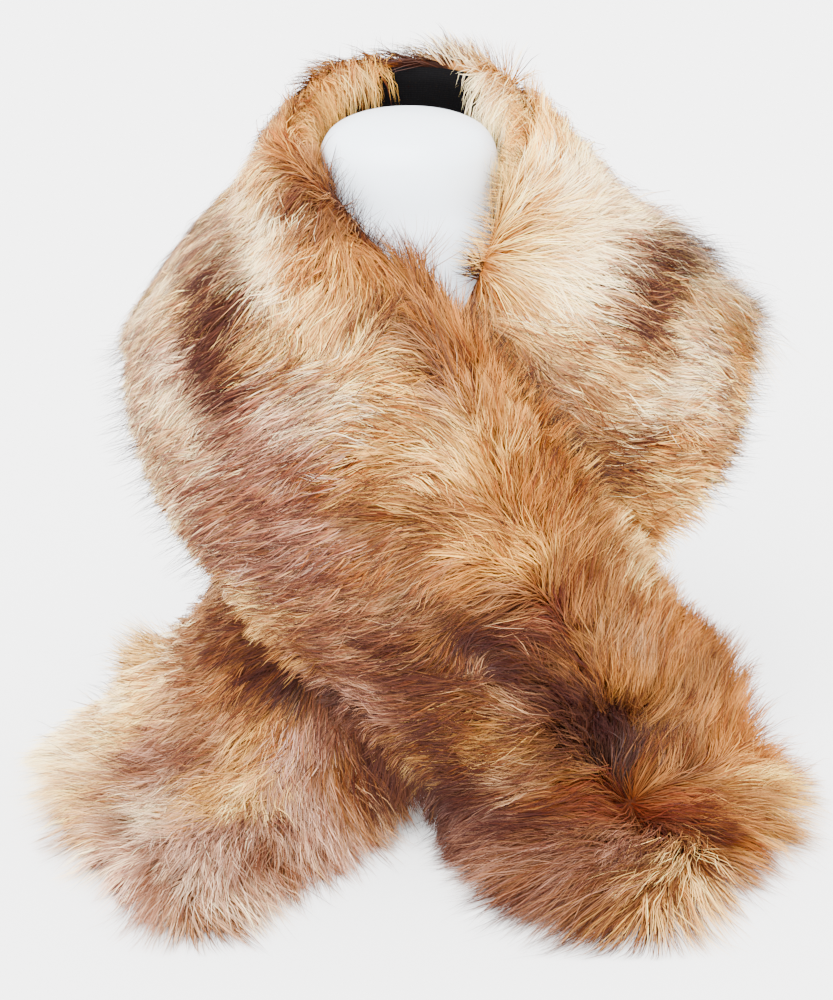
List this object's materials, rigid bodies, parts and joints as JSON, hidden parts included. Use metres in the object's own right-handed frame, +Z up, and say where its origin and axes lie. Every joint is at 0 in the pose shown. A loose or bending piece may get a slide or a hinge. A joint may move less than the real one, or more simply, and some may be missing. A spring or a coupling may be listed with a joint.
{
  "type": "faux-fur scarf on a limbless bust form",
  "caption": "Long-pile faux-fur scarf wound round the neck of a smooth limbless bust form, crossed on the chest, its tails resting on the surface.",
  "frame": {"origin": "middle of the bust form's flat base, on the surface it stands on", "axes": "+Z up, the front of the bust towards -Y, the wearer's right shoulder towards -X"},
  "size_m": [0.5218, 0.4034, 0.4474],
  "materials": {
    "fur": "long soft pile, amber, cream and umber with dark tips",
    "lining": "matte black woven backing",
    "bust": "smooth satin white"
  },
  "bodies": {
    "root": {"bust_form": "bust", "fur_over_tail": "fur", "lining_over_tail": "lining", "fur_over_front": "fur", "lining_over_front": "lining", "fur_over_shoulder": "fur", "lining_over_shoulder": "lining", "fur_neck_back": "fur", "lining_neck_back": "lining", "fur_under_shoulder": "fur", "lining_under_shoulder": "lining", "fur_under_front": "fur", "lining_under_front": "lining", "fur_under_tail": "fur", "lining_under_tail": "lining"}
  },
  "joints": []
}
